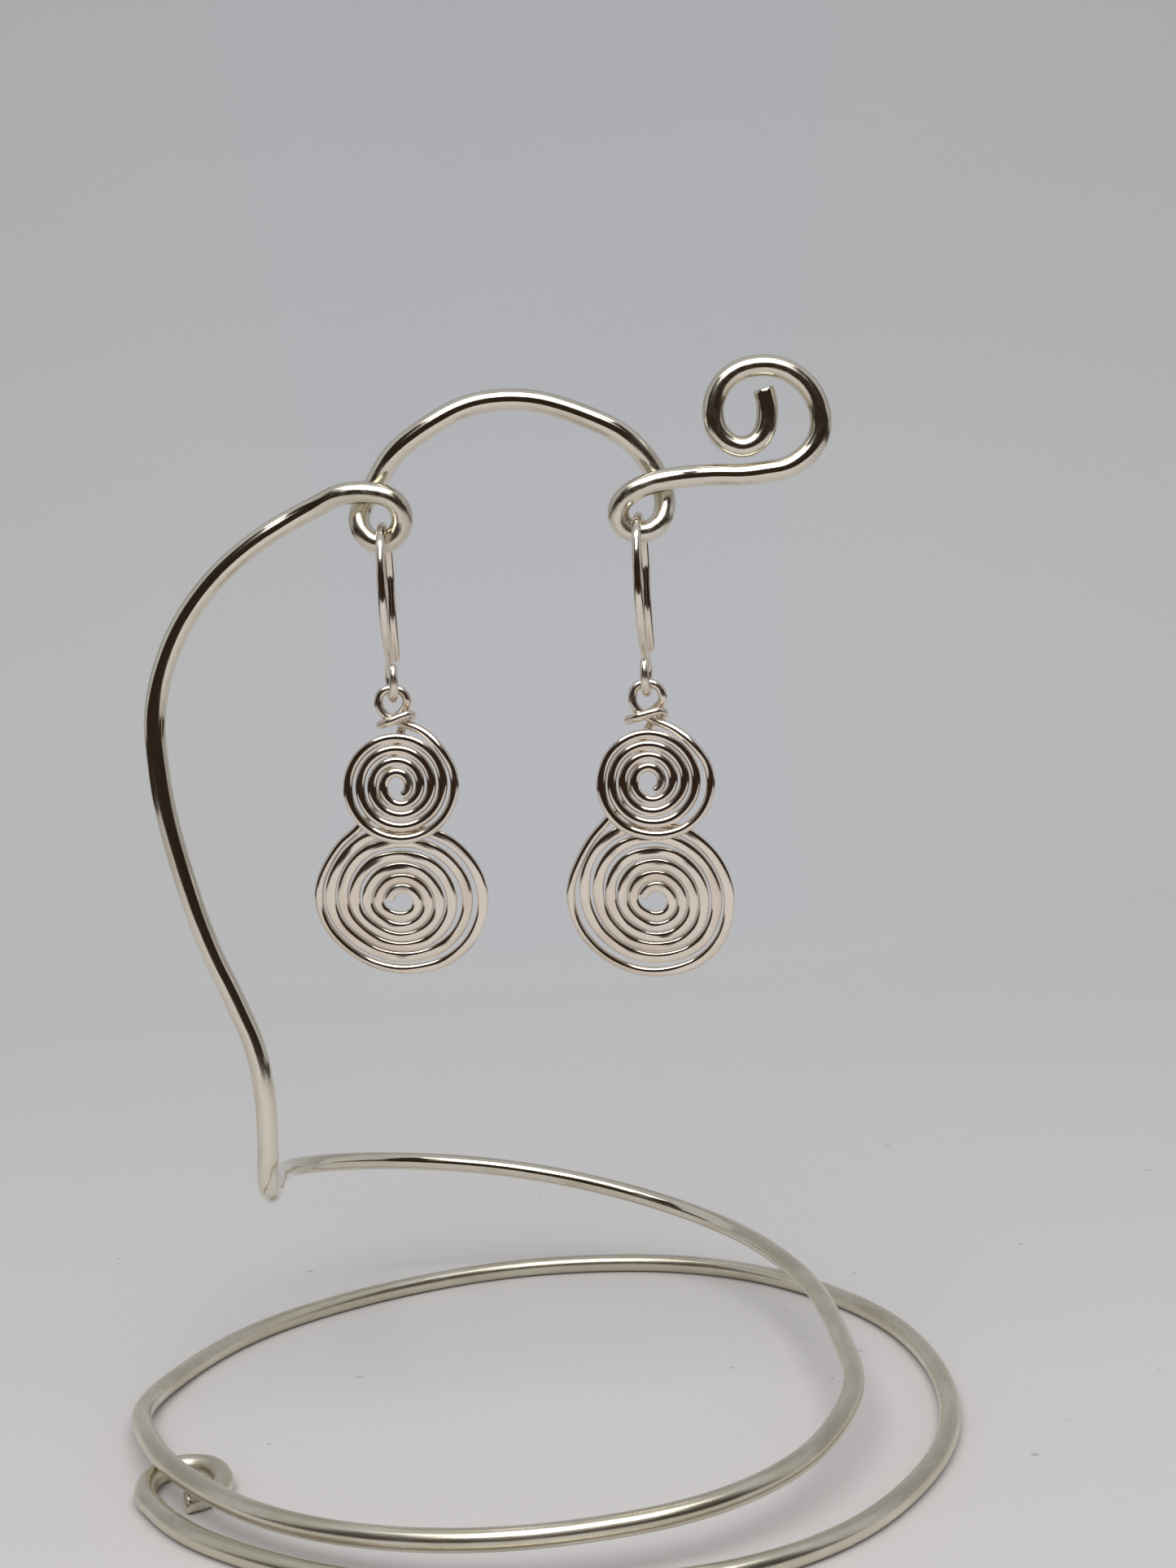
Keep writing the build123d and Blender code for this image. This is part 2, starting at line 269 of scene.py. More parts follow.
class Graph:
    """Short words for building the node tree of a material or a world."""

    def __init__(self, owner: bpy.types.ID) -> None:
        """Keep the owner's tree, emptied."""
        owner.use_nodes = True
        self.tree = owner.node_tree
        self.tree.nodes.clear()

    def add(self, kind: str, inputs: dict | None = None, **settings: object) -> bpy.types.Node:
        """Add a node.

        Args:
            kind: The node's type.
            inputs: What goes into its inputs, by name or number: the output of
                another node or a constant.
            settings: Its properties by name.

        Returns:
            The node.
        """
        node = self.tree.nodes.new(kind)
        for name, value in settings.items():
            setattr(node, name, value)
        for name, value in (inputs or {}).items():
            socket = node.inputs[name]
            if isinstance(value, Socket):
                self.tree.links.new(value, socket)
            else:
                socket.default_value = (*value, 1.0) if socket.type == "RGBA" else value
        return node

    def surface(self, kind: str, output: str, inputs: dict) -> None:
        """Shader or light of a kind, linked to an output node."""
        self.add(output, {"Surface": self.add(kind, inputs).outputs[0]})

    def attribute(self, name: str, output: str) -> Socket:
        """A point attribute that the wire's mesh carries."""
        return self.add("ShaderNodeAttribute", attribute_name=name).outputs[output]

    def noise(self, vector: Socket, pattern: Pattern) -> Socket:
        """Value of a noise pattern, read at a vector."""
        place = self.add("ShaderNodeMapping", {"Vector": vector, "Scale": pattern.scale})
        return self.add("ShaderNodeTexNoise", {
            "Vector": place.outputs[0],
            "Scale": 1.0,
            "Detail": pattern.detail,
            "Roughness": pattern.rough,
        }).outputs["Fac"]

    def ramp(self, value: Socket, ends: Pair) -> Socket:
        """The value's rise from 0 to 1 between two ends, eased at both."""
        inputs = {"Value": value, "From Min": ends[0], "From Max": ends[1]}
        node = self.add("ShaderNodeMapRange", inputs, interpolation_type="SMOOTHSTEP")
        return node.outputs["Result"]

    def math(self, operation: str, *values: object) -> Socket:
        """One arithmetic step."""
        node = self.add("ShaderNodeMath", dict(enumerate(values)), operation=operation)
        return node.outputs[0]

    def mix_colour(self, share: Socket, first: object, second: object) -> Socket:
        """Colour between two by a share."""
        inputs = {"Factor": share, "A": first, "B": second}
        return self.add("ShaderNodeMix", inputs, data_type="RGBA").outputs["Result"]

    def bump(self, height: Socket, depth: float, under: Socket | None = None) -> Socket:
        """Surface relief of a depth in metres, on top of an earlier one."""
        inputs = {"Distance": depth, "Height": height}
        if under is not None:
            inputs["Normal"] = under
        return self.add("ShaderNodeBump", inputs).outputs["Normal"]


@dataclass(frozen=True)
class Silver:
    """Finish of drawn silver wire.

    Args:
        label: Name of the material.
        colour: The clean metal's colour.
        tarnish: Colour of the faint film on it.
        roughness: Roughness of the drawn surface.
        worked_roughness: Roughness added where tools have gripped it.
        dull_roughness: Roughness added where it has rubbed on tables.
        line_depth: Depth of the draw lines, in millimetres.
        pit_depth: Depth of the marks where tools have gripped, in millimetres.
    """

    label: str
    colour: Triple
    tarnish: Triple
    roughness: float = 0.09
    worked_roughness: float = 0.13
    dull_roughness: float = 0.15
    line_depth: float = 0.0012
    pit_depth: float = 0.004

    # In waves per millimetre along the wire and across it
    DRAW_LINES = Pattern((0.35, 9.0, 9.0), 4.0, 0.6, (0.35, 0.75))
    LONG_LINES = Pattern((0.05, 4.0, 4.0), 2.0, 0.5)
    FILM = Pattern((0.12, 0.5, 0.5), 3.0, 0.55, (0.42, 0.72))
    PITS = Pattern((1.5, 2.2, 2.2), 2.5, 0.5, (0.3, 0.7))
    RUBBED_FILM = 0.12  # film that rubbing adds
    STREAK_ROUGHNESS = 0.07
    EVEN_SHARE = 0.5  # of worked_roughness, between the pits too
    LONG_SHARE = 2.0  # weight of the long lines against the short ones

    def material(self) -> bpy.types.Material:
        """Build the finish, or find it if it is there already.

        Returns:
            The material.
        """
        made = bpy.data.materials.get(self.label)
        if made:
            return made
        made = bpy.data.materials.new(self.label)
        graph = Graph(made)
        lay = graph.attribute("lay", "Vector")
        worked, dull = (graph.attribute(name, "Fac") for name in ("worked", "dull"))
        drawn, long_lines, film, pits = (
            graph.noise(lay, pattern)
            for pattern in (self.DRAW_LINES, self.LONG_LINES, self.FILM, self.PITS)
        )
        film = graph.math("MULTIPLY_ADD", dull, self.RUBBED_FILM, film)
        tint = graph.mix_colour(graph.ramp(film, self.FILM.ends), self.colour, self.tarnish)
        rough = self.roughness
        satin = graph.math("MULTIPLY", worked, graph.ramp(pits, self.PITS.ends))
        for place, share in (
            (graph.ramp(drawn, self.DRAW_LINES.ends), self.STREAK_ROUGHNESS),
            (satin, self.worked_roughness),
            (worked, self.EVEN_SHARE * self.worked_roughness),
            (dull, self.dull_roughness),
        ):
            rough = graph.math("MULTIPLY_ADD", place, share, rough)
        lines = graph.math("MULTIPLY_ADD", long_lines, self.LONG_SHARE, drawn)
        lines = graph.bump(lines, self.line_depth * MM)
        marks = graph.bump(graph.math("MULTIPLY", worked, pits), self.pit_depth * MM, lines)
        graph.surface("ShaderNodeBsdfPrincipled", "ShaderNodeOutputMaterial", {
            "Base Color": tint,
            "Metallic": 1.0,
            "Roughness": rough,
            "Normal": marks,
        })
        return made


STAND_SILVER = Silver(
    "stand_silver", colour=(0.82, 0.77, 0.66), tarnish=(0.68, 0.63, 0.505), pit_depth=0.005
)
EAR_SILVER = Silver(
    "ear_silver", colour=(0.87, 0.795, 0.70), tarnish=(0.77, 0.67, 0.56), pit_depth=0.007
)


@dataclass(frozen=True)
class Worked:
    """A stretch of wire that pliers or cutters have marked.

    Args:
        start: First share of the wire's length.
        end: Last share of it.
        strength: How heavily it is marked.
        dents: Number of small flats pressed into it.
    """

    start: float
    end: float
    strength: float = 1.0
    dents: int = 20


@dataclass(kw_only=True)
class Wire:
    """A wire that stands for one CAD node.

    Args:
        node: CAD node that it replaces.
        body: CAD body that it moves with.
        slot: Name of a material slot; not used.
        finish: Its metal.
        diameter: Thickness in millimetres.
        spacing: Distance between rings in millimetres.
        sides: Points on each ring.
        seed: Start of its random marks.
        marks: Stretches marked by tools.
        rubbed: Shares of the wire's length and how dull it has rubbed there.
    """

    node: str
    body: str
    slot: str
    finish: Silver
    diameter: float
    spacing: float
    sides: int
    seed: int
    marks: tuple[Worked, ...] = ()
    rubbed: Rows = ((0.0, 0.0), (1.0, 0.0))

    EASE = 0.32  # bell curve that evens the bends, in diameters
    FADE = 0.12  # share of a marked stretch, at each end
    WAVE = 0.002  # unevenness of the drawn wire, in radii
    WAVE_TURN = 0.9  # in radians per millimetre
    DENT_WIDTHS = (0.12, 0.35)  # in diameters
    DENT_DEPTHS = (0.006, 0.022)  # in radii
    DENT_REACH = 0.5  # round the wire, in radians
    CUT_RINGS = 6
    CUT_POWER = 0.6  # spaces a cut end's rings
    CUT_SAG = 0.18  # how far a cut end stands proud, in radii

    def points(self) -> Array:
        """Points that the wire bends through, in millimetres."""
        raise NotImplementedError

    def line(self) -> Array:
        """Evenly spaced middle line of the wire, in millimetres."""
        line = even_line(bent_line(self.points()), self.spacing)
        return relaxed(line, self.EASE * self.diameter / self.spacing)

    def wear(self, share: Array) -> Array:
        """How strongly each place along the wire is marked by tools.

        Args:
            share: Places from 0 to 1 along the wire.

        Returns:
            Strength at each place, with soft ends.
        """
        found = np.zeros_like(share)
        for mark in self.marks:
            edge = self.FADE * (mark.end - mark.start) + SMALL
            rise = np.clip((share - mark.start) / edge, 0, 1)
            rise = rise * np.clip((mark.end - share) / edge, 0, 1)
            found = np.maximum(found, mark.strength * rise * rise * (3 - 2 * rise))
        return found

    def relief(self, along: Array, angle: Array) -> Array:
        """Change of radius from small pressed flats, as a share of the radius.

        Each flat is a bell-shaped hollow along and round the wire, and a slow
        wave along the wire keeps the tube from being perfect.

        Args:
            along: Distance along the wire of each ring, in millimetres.
            angle: Angle of each point on a ring.

        Returns:
            Array of rings by points.
        """
        random = np.random.default_rng(self.seed)
        total = along[-1]
        phase = along[:, None] * self.WAVE_TURN + 2 * np.cos(angle)[None, :]
        wave = self.WAVE * np.sin(phase)
        for mark in self.marks:
            places = random.uniform(mark.start, mark.end, mark.dents) * total
            turns = random.uniform(0, 2 * pi, mark.dents)
            widths = random.uniform(*self.DENT_WIDTHS, mark.dents) * self.diameter
            depths = random.uniform(*self.DENT_DEPTHS, mark.dents) * mark.strength
            near = np.exp(-(((along[:, None] - places) / widths) ** 2))
            chord = 2 * np.sin((angle[:, None] - turns) / 2)
            round_it = np.exp(-((chord / self.DENT_REACH) ** 2))
            wave = wave - (near * depths) @ round_it.T
        return wave

    def section(self, frames: Frames, angle: Array) -> Array:
        """Outline at angles round each ring, as shares of the radius: here a circle."""
        return np.ones((len(frames.line), len(angle)))

    def surface(self) -> tuple[Array, Array, Array]:
        """Points of the tube, its cut ends and their places on the straight wire.

        A point is line + r (cos(a) across + sin(a) upward). At each end the
        radius shrinks to a sheared, slightly rounded flat.

        Returns:
            Positions, straight-wire places (both rings by sides by three) and
            tool wear by ring.
        """
        frames = carried_frames(self.line())
        line, tangent = frames.line, frames.tangent
        along = np.arange(len(line)) * self.spacing
        angle = np.arange(self.sides) * 2 * pi / self.sides
        radius = self.diameter / 2 * (1 + self.relief(along, angle))
        radius = radius * self.section(frames, angle)
        rim = np.linspace(1.0, 0.0, self.CUT_RINGS + 1)[1:] ** self.CUT_POWER
        sag = self.diameter / 2 * self.CUT_SAG * np.sqrt(1 - rim**2)
        (first, first_middle), (last, last_middle) = (
            (radius[end] * rim[:, None], line[end] + way * tangent[end] * sag[:, None])
            for end, way in ((0, -1.0), (-1, 1.0))
        )
        rings = np.concatenate([first[::-1], radius, last])
        middles = np.concatenate([first_middle[::-1], line, last_middle])
        pad = (self.CUT_RINGS, self.CUT_RINGS)
        across = np.pad(frames.across, (pad, (0, 0)), "edge")[:, None]
        upward = np.pad(frames.upward, (pad, (0, 0)), "edge")[:, None]
        flat_x, flat_y = rings * np.cos(angle), rings * np.sin(angle)
        placed = middles[:, None] + flat_x[:, :, None] * across + flat_y[:, :, None] * upward
        along = np.pad(along, pad, "edge")
        lay = np.stack([np.broadcast_to(along[:, None], flat_x.shape), flat_x, flat_y], axis=2)
        return placed, lay, self.wear(along / along[-1])

    def build(self, shift: Array) -> Piece:
        """Make the piece, dress it and let it stand for its CAD node.

        Args:
            shift: Move from the tables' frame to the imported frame, in millimetres.

        Returns:
            The finished piece.
        """
        placed, lay, worked = self.surface()
        index = np.arange(len(placed) * self.sides).reshape(-1, self.sides)
        faces = grid_faces(np.column_stack([index, index[:, 0]]))
        points = (placed.reshape(-1, 3) + shift) * MM
        piece = put_mesh(f"{self.node}_wire", points, faces, self.finish.material())
        dull = np.interp(lay[:, :, 0].ravel() / lay[-1, 0, 0], *np.array(self.rubbed).T)
        store(piece.data, "lay", "FLOAT_VECTOR", "vector", lay.reshape(-1, 3))
        store(piece.data, "worked", "FLOAT", "value", np.repeat(worked, self.sides))
        store(piece.data, "dull", "FLOAT", "value", dull)
        weld_poles(piece)
        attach(piece, self.body)
        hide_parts(self.node)
        LOG.info("%s: %d rings, %.1f mm of wire", self.node, len(placed), lay[-1, 0, 0])
        return piece


def put(name: str, data: bpy.types.ID) -> Piece:
    """New object of a mesh, lamp or camera, linked to the scene."""
    piece = bpy.data.objects.new(name, data)
    bpy.context.scene.collection.objects.link(piece)
    return piece


def put_mesh(name: str, points: Array, faces: list, material: bpy.types.Material) -> Piece:
    """New smooth-shaded object of points and faces."""
    mesh = bpy.data.meshes.new(name)
    mesh.from_pydata(points.tolist(), [], faces)
    mesh.shade_smooth()
    mesh.materials.append(material)
    return put(name, mesh)


def grid_faces(index: Array) -> list:
    """Faces between the rows and columns of a grid of point numbers."""
    corners = [index[:-1, :-1], index[:-1, 1:], index[1:, 1:], index[1:, :-1]]
    return np.stack(corners, axis=2).reshape(-1, 4).tolist()


def store(mesh: bpy.types.Mesh, name: str, kind: str, key: str, values: Array) -> None:
    """Write an array as a point attribute of a mesh."""
    attribute = mesh.attributes.new(name, kind, "POINT")
    attribute.data.foreach_set(key, np.ascontiguousarray(values, dtype=np.float32).ravel())


def weld_poles(piece: Piece) -> None:
    """Merge the points that meet at the middle of a wire's cut ends."""
    work = bmesh.new()
    work.from_mesh(piece.data)
    bmesh.ops.remove_doubles(work, verts=work.verts, dist=WELD)
    work.to_mesh(piece.data)
    work.free()


@dataclass(kw_only=True)
class DisplayStand(Wire):
    """The stand: top curl, two hanging loops, arch, stem, foot and base coil."""

    node: str = "display_stand"
    body: str = "stand"
    slot: str = "stand_wire"
    finish: Silver = STAND_SILVER
    diameter: float = STAND_WIRE
    spacing: float = 0.3
    sides: int = 36
    seed: int = 11
    marks: tuple[Worked, ...] = (
        Worked(0.0, 0.045, 0.5, 40),  # top curl
        Worked(0.060, 0.094, 0.9, 50),  # right loop
        Worked(0.126, 0.160, 0.9, 50),  # left loop
        Worked(0.965, 1.0, 0.6, 24),  # end curl
    )
    rubbed: Rows = ((0.0, 0.0), (0.40, 0.0), (0.48, 1.0), (1.0, 1.0))

    BASE_RADIUS = 42.0
    COIL_RISE = 15.7  # from the crossing to the leg's foot
    FLOOR_CURL = 4.2
    UPRIGHT_BACK = -11.0
    LOOP_HEIGHT = 90.6
    LOOP_LEFT = -10.25
    LOOP_SPAN = 24.4
    RIGHT_LOOP_DROP = 0.2
    LOOP_RADIUS = 2.2
    ARCH_RISE = 10.4
    STEM_REACH = 22.4  # furthest left of the left loop
    CURL_RADIUS = 4.9
    CURL_REACH = 12.1  # from the right loop to its middle
    CURL_LIFT = 7.7
    # Rows are X, Z and the step behind (+1) or in front (-1) of the upright
    CURL = (  # shares of CURL_RADIUS
        (-0.02, 0.56), (0.03, 0.05), (-0.10, -0.33), (-0.46, -0.50), (-0.84, -0.31),
        (-1.00, 0.16), (-0.73, 0.78), (-0.08, 1.02), (0.60, 0.80), (1.00, 0.25),
        (0.98, -0.40), (0.52, -0.86), (-0.20, -1.00),
    )
    RIGHT_LOOP = (  # shares of LOOP_RADIUS
        (2.60, 1.27, -0.4), (1.25, 1.17, -1.0), (0.35, 0.99, -1.0), (-0.50, 0.60, -0.8),
        (-0.95, -0.08, -0.3), (-0.72, -0.72, 0.0), (-0.02, -1.00, 0.0), (0.78, -0.64, 0.3),
        (1.08, 0.25, 0.9), (0.72, 1.55, 1.0), (-0.20, 2.80, 0.4),
    )
    ARCH = (  # shares of LOOP_SPAN from the left loop and of ARCH_RISE
        (0.765, 0.87), (0.571, 1.0), (0.369, 0.975), (0.180, 0.77),
    )
    LEFT_LOOP = (  # shares of LOOP_RADIUS
        (0.55, 2.55, 0.4), (-0.16, 1.55, 1.0), (-0.72, 0.72, 1.0), (-0.92, -0.15, 0.5),
        (-0.02, -1.00, 0.0), (0.93, -0.20, -0.3), (0.62, 0.78, -0.9), (-0.25, 1.09, -1.0),
        (-1.30, 1.14, -0.9),
    )
    STEM = (  # shares of STEM_REACH to the left and of LOOP_HEIGHT
        (0.293, 1.013), (0.548, 0.979), (0.720, 0.944), (0.895, 0.886), (0.993, 0.815),
        (0.993, 0.740), (0.930, 0.648), (0.826, 0.557), (0.740, 0.504), (0.665, 0.450),
        (0.638, 0.400), (0.638, 0.345), (0.644, 0.322),
    )
    FOOT = (  # shares of BASE_RADIUS and LOOP_HEIGHT
        (-0.591, -0.247, 0.302), (-0.596, -0.208, 0.292), (-0.648, 0.250, 0.242),
        (-0.680, 0.500, 0.215), (-0.668, 0.690, 0.199),
    )
    RAISED_TURN = (  # angle, share of BASE_RADIUS, of COIL_RISE, of the crossing's lift
        (120, 1.012, 0.826, 1), (90, 0.979, 0.584, 1), (60, 0.920, 0.320, 1),
        (30, 0.785, 0.231, 1), (0, 0.735, 0.183, 1), (-30, 0.824, 0.161, 1),
        (-60, 0.938, 0.118, 1), (-90, 0.945, 0.056, 1), (-120, 0.938, 0.012, 1),
        (-148, 0.935, 0.0, 1.03), (-164, 0.945, 0.0, 0.86), (-180, 0.967, 0.0, 0.24),
        (-195, 0.952, 0.0, 0.02),
    )
    FLOOR_TURN = (  # angle, share of BASE_RADIUS
        (150, 0.941), (120, 0.923), (90, 0.962), (60, 1.004), (30, 0.986), (0, 0.979),
        (-30, 1.021), (-60, 1.070), (-90, 1.026), (-120, 1.008), (-145, 1.005),
    )
    CURL_END = (  # shares of FLOOR_CURL from CURL_END_CENTRE of BASE_RADIUS
        (-0.82, -0.50), (-0.80, 0.35), (-0.32, 0.90), (0.30, 0.86), (0.74, 0.30),
        (0.82, -0.45), (0.20, -1.06),
    )
    CURL_END_CENTRE = (-0.79, -0.43)

    def loop_middle(self, side: Side) -> Pair:
        """X and Z of the middle of a hanging loop."""
        if side is Side.LEFT:
            return self.LOOP_LEFT, self.LOOP_HEIGHT
        return self.LOOP_LEFT + self.LOOP_SPAN, self.LOOP_HEIGHT - self.RIGHT_LOOP_DROP

    def upright(self) -> Array:
        """Points from the top curl's tip down to the foot."""
        step = (self.diameter + CROSSING_GAP) / 2
        right, left = (np.array(self.loop_middle(side)) for side in (Side.RIGHT, Side.LEFT))

        def placed(rows: Rows, scale: object, middle: Array) -> Array:
            """Rows scaled and put round a middle, with their steps off the plane."""
            share = np.array(rows)
            off = share[:, 2] if share.shape[1] > 2 else np.zeros(len(share))
            x, z = (share[:, :2] * scale + middle).T
            return np.stack([x, self.UPRIGHT_BACK + step * off, z], axis=1)

        return np.concatenate([
            placed(self.CURL, self.CURL_RADIUS, right + (self.CURL_REACH, self.CURL_LIFT)),
            placed(self.RIGHT_LOOP, self.LOOP_RADIUS, right),
            placed(self.ARCH, (self.LOOP_SPAN, self.ARCH_RISE), left),
            placed(self.LEFT_LOOP, self.LOOP_RADIUS, left),
            placed(self.STEM, (-self.STEM_REACH, self.LOOP_HEIGHT), left * (1, 0)),
        ])

    def base(self) -> Array:
        """Points of the foot, both turns of the coil and the small end curl."""
        floor, crossing = self.diameter / 2, self.diameter + CROSSING_GAP
        foot = np.array(self.FOOT) * (self.BASE_RADIUS, self.BASE_RADIUS, self.LOOP_HEIGHT)
        raised = np.array(self.RAISED_TURN)
        level = np.array(self.FLOOR_TURN)
        angle = np.radians(np.concatenate([raised[:, 0], level[:, 0]]))
        out = self.BASE_RADIUS * np.concatenate([raised[:, 1], level[:, 1]])
        height = floor + raised[:, 3] * crossing + raised[:, 2] * self.COIL_RISE
        height = np.concatenate([height, np.full(len(level), floor)])
        coil = np.stack([out * np.cos(angle), out * np.sin(angle), height], axis=1)
        end = np.array(self.CURL_END) * self.FLOOR_CURL
        end = end + np.array(self.CURL_END_CENTRE) * self.BASE_RADIUS
        end = np.column_stack([end, np.full(len(end), floor)])
        return np.concatenate([foot, coil, end])

    def points(self) -> Array:
        """Points that the wire bends through, in millimetres."""
        return np.concatenate([self.upright(), self.base()])

    def shift_into(self, low: Vector, high: Vector) -> Array:
        """Move in millimetres that puts the line in the CAD stand's box, in metres."""
        line = self.line()
        middle = np.array((low + high) / 2) / MM
        shift = middle - (line.min(axis=0) + line.max(axis=0)) / 2
        shift[2] = low.z / MM - (line[:, 2].min() - self.diameter / 2)
        return shift


@dataclass(kw_only=True)
class EarWire(Wire):
    """A fishhook ear wire with a closed eye, hung in a loop of the stand.

    Args:
        stand: The stand that it hangs on.
        side: Which one of the pair.
    """

    stand: DisplayStand
    side: Side
    slot: str = "ear_wire"
    finish: Silver = EAR_SILVER
    diameter: float = EAR_WIRE
    spacing: float = 0.1
    sides: int = 32
    marks: tuple[Worked, ...] = (
        Worked(0.0, 0.03, 0.4, 6),  # tip
        Worked(0.66, 0.77, 1.5, 34),  # front leg
        Worked(0.78, 1.0, 1.2, 44),  # eye
    )

    TIP_FLAT = 0.4  # least radius at the rounded tip, as a share
    ARCH_RADIUS = 4.3
    EYE_RADIUS = 1.75
    BACK_LEG = 8.6  # goes through the ear
    BACK_FLARE = 1.4  # how far its tip stands out
    BACK_BEND = (0.08, 0.50)  # shares of BACK_FLARE and BACK_LEG
    FRONT_LEG = (  # shares of ARCH_RADIUS and of the way down to the eye's top
        (-1.007, 0.155), (-0.965, 0.345), (-0.767, 0.62), (-0.465, 0.833), (-0.144, 0.946),
    )
    ARCH_ANGLES = (0, 45, 90, 135, 180)
    EYE_ANGLES = (60, 5, -50, -110, -170, -228)
    # Height, place along the loop, turn in degrees, sideways share of the eye
    SHAPES = {
        Side.LEFT: dict(seed=21, height=16.2, shift=0.2, yaw=-0.5, twist=-0.20),
        Side.RIGHT: dict(seed=22, height=16.6, shift=-0.15, yaw=-7.0, twist=0.0),
    }

    @classmethod
    def on(cls, stand: DisplayStand, side: Side) -> "EarWire":
        """The ear wire of one side, not yet built."""
        node, seed = f"{side.value}_ear_hook", cls.SHAPES[side]["seed"]
        return cls(node=node, body="stand", seed=seed, stand=stand, side=side)

    def place(self) -> Array:
        """Where the top of the arch hangs in its loop."""
        shift = self.SHAPES[self.side]["shift"]
        x, z = self.stand.loop_middle(self.side)
        play = self.stand.LOOP_RADIUS - STAND_WIRE / 2 - EAR_WIRE / 2 - HANG_GAP
        return np.array([x + shift, self.stand.UPRIGHT_BACK, z - sqrt(play**2 - shift**2)])

    def pivot(self) -> Array:
        """Middle of the drop's top loop where it rests in the eye."""
        height = self.SHAPES[self.side]["height"]
        return self.place() - (0.0, 0.0, height - EAR_WIRE - HANG_GAP)

    def section(self, frames: Frames, angle: Array) -> Array:
        """Circle that shrinks at the rounded tip as sqrt(1 - (1 - s)^2), s in radii."""
        from_tip = np.arange(len(frames.line)) * self.spacing / (self.diameter / 2)
        short = np.maximum(1 - from_tip, 0.0)
        share = np.maximum(np.sqrt(1 - short**2), self.TIP_FLAT)
        return np.repeat(share[:, None], len(angle), axis=1)

    def points(self) -> Array:
        """Points that the wire bends through, in millimetres."""
        shape = self.SHAPES[self.side]
        arch, eye = self.ARCH_RADIUS, self.EYE_RADIUS
        eye_z = arch + eye - shape["height"]

        def circle(angles: tuple[float, ...]) -> Array:
            """Y and Z of places round a circle of radius one."""
            turn = np.radians(angles)
            return np.stack([np.cos(turn), np.sin(turn)], axis=1)

        tip = np.array([(1.0, 1.0), self.BACK_BEND]) * (self.BACK_FLARE, -self.BACK_LEG)
        tip = tip + (arch, 0.0)
        front = np.array(self.FRONT_LEG) * (arch, eye_z + eye)
        ring = eye * circle(self.EYE_ANGLES) + (0.0, eye_z)
        flat = np.concatenate([tip, arch * circle(self.ARCH_ANGLES), front, ring])
        in_eye = np.arange(len(flat)) >= len(flat) - len(ring)
        sway = np.where(in_eye, shape["twist"] * flat[:, 0], 0.0)
        yaw = radians(shape["yaw"])
        return self.place() + np.stack([
            sway * cos(yaw) - flat[:, 0] * sin(yaw),
            sway * sin(yaw) + flat[:, 0] * cos(yaw),
            flat[:, 1] - arch,
        ], axis=1)


# In lays of one wire and one gap; a spiral has a row for each turn with its
# radius in eight directions, wound from the cut tip (angle, radius)
LEFT_DROP = dict(
    seed=31,
    large_centre=(-0.23, -21.83),
    large_tip=(165, 1.37),
    large=(
        (1.45, 1.49, 1.46, 1.49, 1.47, 1.45, 1.70, 2.38),
        (2.54, 2.57, 2.52, 2.58, 2.55, 2.56, 2.79, 3.53),
        (3.70, 3.70, 3.63, 3.74, 3.65, 3.58, 3.85, 4.80),
        (5.07, 4.87, 4.96, 5.00, 4.79, 4.60, 4.89, 5.96),
        (6.38, 6.28, 6.43, 6.61, 6.15, 5.69, 6.01, 7.22),
        (7.52, 7.62, 7.98, 8.18, 7.69, 7.01, 7.26, 8.42),
    ),
    large_end=(8.64,),
    small_centre=(0.11, -9.82),
    small_tip=(-64, 0.98),
    small=(
        (1.03, 1.10, 1.28, 1.44, 1.47, 1.45, 1.56, 1.85),
        (2.06, 2.24, 2.44, 2.59, 2.61, 2.60, 2.71, 2.90),
        (3.15, 3.39, 3.58, 3.77, 3.81, 3.79, 3.88, 4.05),
        (4.27, 4.54, 4.76, 4.93, 4.97, 5.02, 5.10, 5.29),
    ),
    small_end=(5.51, 5.71, 5.84),
    neck=(
        (-4.33, 0.20, -13.98), (-2.55, 0.33, -12.17), (-1.35, 0.48, -9.40),
        (-0.25, 0.64, -6.70), (0.45, 0.85, -4.75),
    ),
    wrap=(
        (0.87, 1.06, -3.74), (1.40, 0.85, -3.22), (1.85, 0.0, -2.82),
        (1.54, -0.80, -2.62), (0.31, -1.06, -3.00), (-0.80, -0.85, -3.40),
        (-1.36, 0.0, -3.58), (-0.95, 0.85, -3.50), (-0.03, 1.03, -3.03),
        (0.96, 0.60, -2.25),
    ),
    loop=(
        (1.40, 0.10, -1.35), (1.08, 0.0, -0.42), (0.0, 0.0, 0.0), (-1.12, 0.0, -0.38),
        (-1.46, 0.0, -1.22), (-1.22, 0.0, -2.15), (-0.42, 0.0, -2.95),
        (0.75, -0.05, -3.48), (1.96, -0.35, -3.92), (2.95, -0.70, -4.45),
    ),
)
